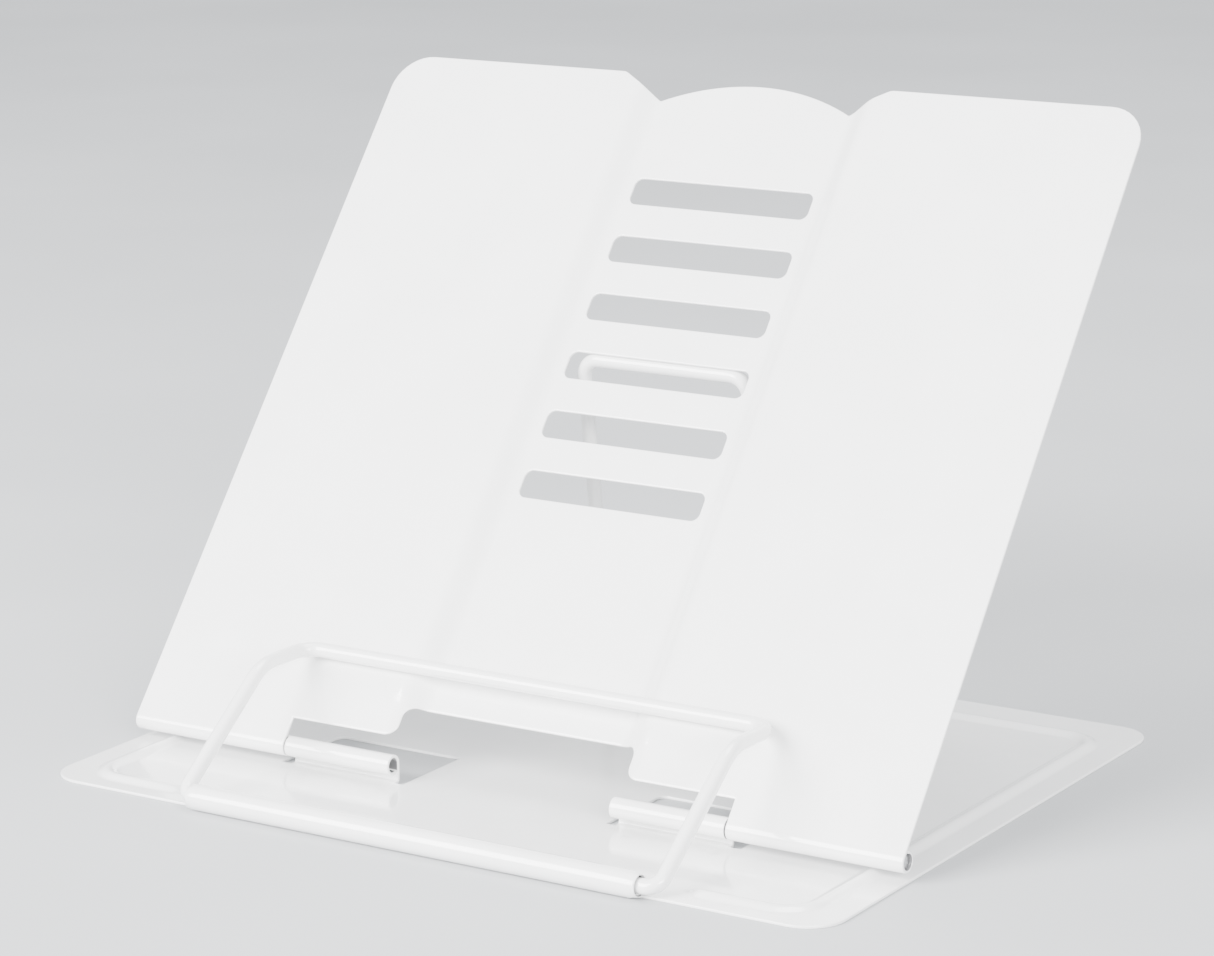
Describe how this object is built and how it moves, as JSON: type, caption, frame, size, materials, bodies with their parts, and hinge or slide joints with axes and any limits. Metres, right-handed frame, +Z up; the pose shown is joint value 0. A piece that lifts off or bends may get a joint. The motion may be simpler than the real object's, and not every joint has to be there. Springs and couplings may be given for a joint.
{
  "type": "folding book stand",
  "caption": "Folding sheet-steel book and document stand with a slotted tilting back plate, a wire support and a wire page holder.",
  "frame": {"origin": "on the desk, under the middle of the stand's overall width and depth", "axes": "+X across to the right as the reader sees it, +Y from the front roll to the rear, +Z up"},
  "size_m": [0.205, 0.1636, 0.1496],
  "materials": {
    "sheet_enamel": "gloss",
    "wire_enamel": "gloss",
    "pin_steel": "satin"
  },
  "bodies": {
    "base": {"base_plate": "sheet_enamel", "hinge_pin_left": "pin_steel", "hinge_pin_right": "pin_steel"},
    "plate": {"back_plate": "sheet_enamel"},
    "support": {"support_rod": "wire_enamel"},
    "holder": {"page_holder": "wire_enamel"}
  },
  "joints": [
    {"name": "plate_fold", "type": "hinge", "parent": "base", "child": "plate", "pos_m": [0, -0.04225, 0.0049], "axis": [1, 0, 0], "range_deg": [-47, 0]},
    {"name": "support_fold", "type": "hinge", "parent": "base", "child": "support", "pos_m": [0, 0.03885, 0.0034], "axis": [1, 0, 0], "range_deg": [-95.31, 0]},
    {"name": "page_holder_swing", "type": "hinge", "parent": "base", "child": "holder", "pos_m": [0, -0.0789, 0.00295], "axis": [1, 0, 0], "range_deg": [0, 144.5]}
  ],
  "couplings": [
    {"joint": "support_fold", "follows": "plate_fold", "ratio": 2.0277}
  ]
}
